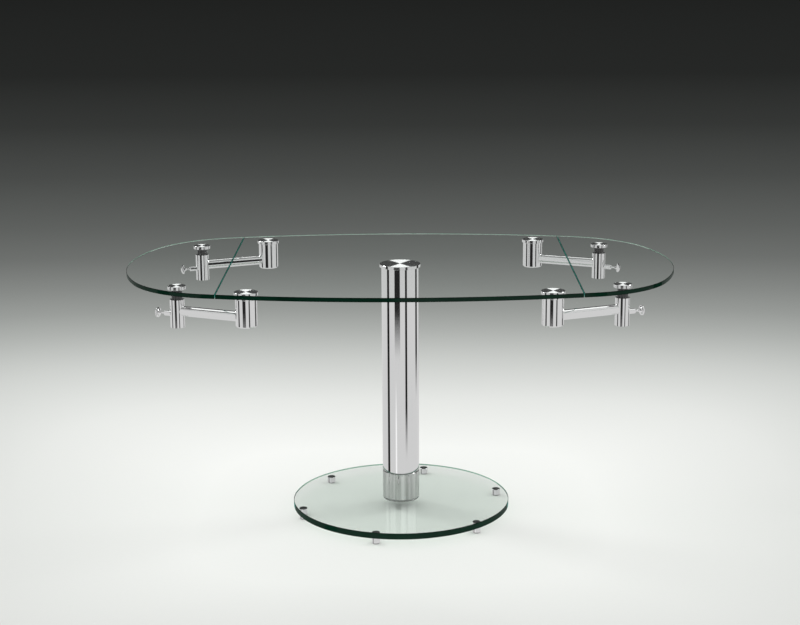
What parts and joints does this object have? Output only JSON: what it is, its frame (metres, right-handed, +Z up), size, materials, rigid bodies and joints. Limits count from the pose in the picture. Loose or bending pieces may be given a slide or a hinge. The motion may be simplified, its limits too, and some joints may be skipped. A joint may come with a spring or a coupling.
{
  "type": "extendable dining table",
  "caption": "Extendable dining table: a glass top in separate panes on a round polished column with a glass foot plate; the end leaves stand on swing arms with spring plungers.",
  "frame": {"origin": "on the floor at the column's axis, the bottom centre of the bounding box with the leaves out", "axes": "+Z up, +X along the top towards the right leaf, -Y the front"},
  "size_m": [1.5718, 0.95, 0.75],
  "materials": {
    "top_glass": "clear, polished green edge",
    "base_glass": "clear, polished green edge",
    "chrome": "polished, bonded discs turned on their faces",
    "satin_steel": "satin",
    "plain_steel": "plain machined",
    "dark_steel": "black oxide, half gloss",
    "black_plastic": "matte",
    "black_rubber": "matte",
    "clear_gasket": "translucent"
  },
  "bodies": {
    "table": {"main_glass": "top_glass", "base_glass": "base_glass", "foot_pads": "black_rubber", "feet": "chrome", "foot_discs": "black_rubber", "base_gasket": "clear_gasket", "base_flange": "plain_steel", "base_collar": "satin_steel", "joint_ring": "black_plastic", "column_tube": "chrome", "tie_rod": "plain_steel", "column_cap": "chrome", "pivot_nuts": "plain_steel", "pivot_cap_front_right": "chrome", "pivot_shaft_front_right": "plain_steel", "pivot_cap_back_right": "chrome", "pivot_shaft_back_right": "plain_steel", "pivot_cap_front_left": "chrome", "pivot_shaft_front_left": "plain_steel", "pivot_cap_back_left": "chrome", "pivot_shaft_back_left": "plain_steel"},
    "arm_front_right": {"pivot_sleeve_front_right": "chrome", "sleeve_end_ring_front_right": "chrome", "pivot_bushes_front_right": "black_plastic", "arm_tube_front_right": "chrome", "post_tube_front_right": "chrome", "plunger_barrel_front_right": "chrome"},
    "stem_front_right": {"stem_front_right": "dark_steel", "post_cap_front_right": "chrome"},
    "plunger_front_right": {"plunger_knob_front_right": "chrome"},
    "arm_back_right": {"pivot_sleeve_back_right": "chrome", "sleeve_end_ring_back_right": "chrome", "pivot_bushes_back_right": "black_plastic", "arm_tube_back_right": "chrome", "post_tube_back_right": "chrome", "plunger_barrel_back_right": "chrome"},
    "stem_back_right": {"stem_back_right": "dark_steel", "post_cap_back_right": "chrome"},
    "plunger_back_right": {"plunger_knob_back_right": "chrome"},
    "arm_front_left": {"pivot_sleeve_front_left": "chrome", "sleeve_end_ring_front_left": "chrome", "pivot_bushes_front_left": "black_plastic", "arm_tube_front_left": "chrome", "post_tube_front_left": "chrome", "plunger_barrel_front_left": "chrome"},
    "stem_front_left": {"stem_front_left": "dark_steel", "post_cap_front_left": "chrome"},
    "plunger_front_left": {"plunger_knob_front_left": "chrome"},
    "arm_back_left": {"pivot_sleeve_back_left": "chrome", "sleeve_end_ring_back_left": "chrome", "pivot_bushes_back_left": "black_plastic", "arm_tube_back_left": "chrome", "post_tube_back_left": "chrome", "plunger_barrel_back_left": "chrome"},
    "stem_back_left": {"stem_back_left": "dark_steel", "post_cap_back_left": "chrome"},
    "plunger_back_left": {"plunger_knob_back_left": "chrome"},
    "leaf_right": {"leaf_glass_right": "top_glass"},
    "leaf_left": {"leaf_glass_left": "top_glass"}
  },
  "joints": [
    {"name": "arm_swing_front_right", "type": "hinge", "parent": "table", "child": "arm_front_right", "pos_m": [0.412, -0.38, 0.678], "axis": [0, 0, 1], "range_deg": [0, 133.6]},
    {"name": "stem_drop_front_right", "type": "slide", "parent": "arm_front_right", "child": "stem_front_right", "axis": [0, 0, 1], "range_m": [-0.018, 0]},
    {"name": "plunger_pull_front_right", "type": "slide", "parent": "arm_front_right", "child": "plunger_front_right", "axis": [0.9191, 0.3939, 0], "range_m": [0, 0.006], "stiffness_N_per_m": 1200, "springref_m": -0.004},
    {"name": "arm_swing_back_right", "type": "hinge", "parent": "table", "child": "arm_back_right", "pos_m": [0.412, 0.38, 0.678], "axis": [0, 0, -1], "range_deg": [0, 133.6]},
    {"name": "stem_drop_back_right", "type": "slide", "parent": "arm_back_right", "child": "stem_back_right", "axis": [0, 0, 1], "range_m": [-0.018, 0]},
    {"name": "plunger_pull_back_right", "type": "slide", "parent": "arm_back_right", "child": "plunger_back_right", "axis": [0.9191, -0.3939, 0], "range_m": [0, 0.006], "stiffness_N_per_m": 1200, "springref_m": -0.004},
    {"name": "arm_swing_front_left", "type": "hinge", "parent": "table", "child": "arm_front_left", "pos_m": [-0.412, -0.38, 0.678], "axis": [0, 0, -1], "range_deg": [0, 133.6]},
    {"name": "stem_drop_front_left", "type": "slide", "parent": "arm_front_left", "child": "stem_front_left", "axis": [0, 0, 1], "range_m": [-0.018, 0]},
    {"name": "plunger_pull_front_left", "type": "slide", "parent": "arm_front_left", "child": "plunger_front_left", "axis": [-0.9191, 0.3939, 0], "range_m": [0, 0.006], "stiffness_N_per_m": 1200, "springref_m": -0.004},
    {"name": "arm_swing_back_left", "type": "hinge", "parent": "table", "child": "arm_back_left", "pos_m": [-0.412, 0.38, 0.678], "axis": [0, 0, 1], "range_deg": [0, 133.6]},
    {"name": "stem_drop_back_left", "type": "slide", "parent": "arm_back_left", "child": "stem_back_left", "axis": [0, 0, 1], "range_m": [-0.018, 0]},
    {"name": "plunger_pull_back_left", "type": "slide", "parent": "arm_back_left", "child": "plunger_back_left", "axis": [-0.9191, -0.3939, 0], "range_m": [0, 0.006], "stiffness_N_per_m": 1200, "springref_m": -0.004},
    {"name": "leaf_drop_right", "type": "slide", "parent": "table", "child": "leaf_right", "axis": [0, 0, 1], "range_m": [-0.018, 0]},
    {"name": "leaf_drop_left", "type": "slide", "parent": "table", "child": "leaf_left", "axis": [0, 0, 1], "range_m": [-0.018, 0]}
  ],
  "couplings": [
    {"joint": "stem_drop_front_right", "follows": "leaf_drop_right", "ratio": 1},
    {"joint": "stem_drop_back_right", "follows": "leaf_drop_right", "ratio": 1},
    {"joint": "arm_swing_back_right", "follows": "arm_swing_front_right", "ratio": 1},
    {"joint": "stem_drop_front_left", "follows": "leaf_drop_left", "ratio": 1},
    {"joint": "stem_drop_back_left", "follows": "leaf_drop_left", "ratio": 1},
    {"joint": "arm_swing_back_left", "follows": "arm_swing_front_left", "ratio": 1}
  ]
}
